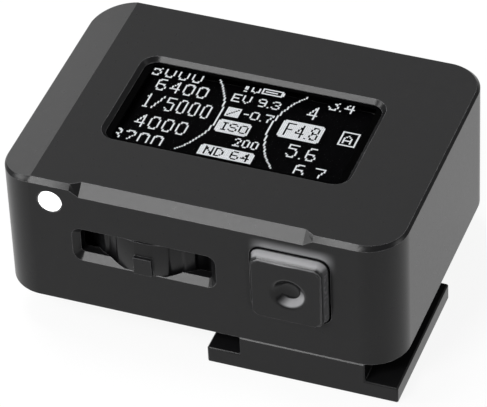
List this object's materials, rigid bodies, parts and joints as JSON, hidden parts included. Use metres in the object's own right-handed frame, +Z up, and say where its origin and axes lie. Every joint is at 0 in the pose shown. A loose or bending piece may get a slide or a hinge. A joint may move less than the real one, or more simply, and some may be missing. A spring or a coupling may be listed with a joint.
{
  "type": "shoe mount light meter",
  "caption": "Small black metal light meter with a top display, a thumb wheel and a push button in front, and a shoe foot below.",
  "frame": {"origin": "middle of the underside of the shoe foot", "axes": "+X to the right of the user who faces the controls, +Y away from the user towards the subject, +Z up"},
  "size_m": [0.039, 0.0295, 0.0178],
  "materials": {
    "anodised": "black anodised, satin",
    "dark_steel": "blackened",
    "steel": "satin",
    "black_plastic": "satin",
    "smoked_pane": "polished, smoked",
    "panel": "polished, lit readout",
    "white_plastic": "smooth",
    "circuit_board": "satin",
    "foam": "matt",
    "amber_film": "satin",
    "foil": "satin",
    "red_lead": "matt",
    "black_lead": "matt",
    "frosted": "frosted"
  },
  "bodies": {
    "body": {"body_shell": "anodised", "base_cover": "anodised", "shoe_foot": "anodised", "cover_screw_1": "dark_steel", "cover_screw_2": "dark_steel", "cover_screw_3": "dark_steel", "cover_screw_4": "dark_steel", "foot_screw_1": "dark_steel", "foot_screw_2": "dark_steel", "foot_screw_3": "dark_steel", "foot_screw_4": "dark_steel", "board_screw_1": "steel", "board_screw_2": "steel", "board_screw_3": "steel", "usb_shell": "steel", "flex_connector": "black_plastic", "controller_chip": "black_plastic", "jog_switch": "black_plastic", "button_switch": "black_plastic", "usb_tongue": "black_plastic", "sensor_tube": "black_plastic", "light_sensor": "black_plastic", "window_lens": "smoked_pane", "oled_panel": "panel", "battery_socket": "white_plastic", "led_lens": "white_plastic", "status_led": "white_plastic", "main_board": "circuit_board", "button_board": "circuit_board", "sensor_board": "circuit_board", "lens_tape": "foam", "panel_pad": "foam", "battery_tape": "foam", "panel_flex": "amber_film", "battery_cell": "foil", "battery_lead_red": "red_lead", "battery_lead_black": "black_lead", "sensor_window": "frosted"},
    "jog": {"jog_wheel": "anodised", "jog_pin": "steel", "jog_clip": "steel"},
    "button": {"button_cap": "anodised", "switch_plunger": "black_plastic"}
  },
  "joints": [
    {"name": "button_press", "type": "slide", "parent": "body", "child": "button", "axis": [0, 1, 0], "range_m": [0, 0.00035], "stiffness_N_per_m": 3000},
    {"name": "jog_turn", "type": "hinge", "parent": "body", "child": "jog", "pos_m": [-0.0151, 0.00053, 0.01118], "axis": [0, 0, 1], "range_deg": [-12, 12], "stiffness_Nm_per_rad": 0.02}
  ]
}
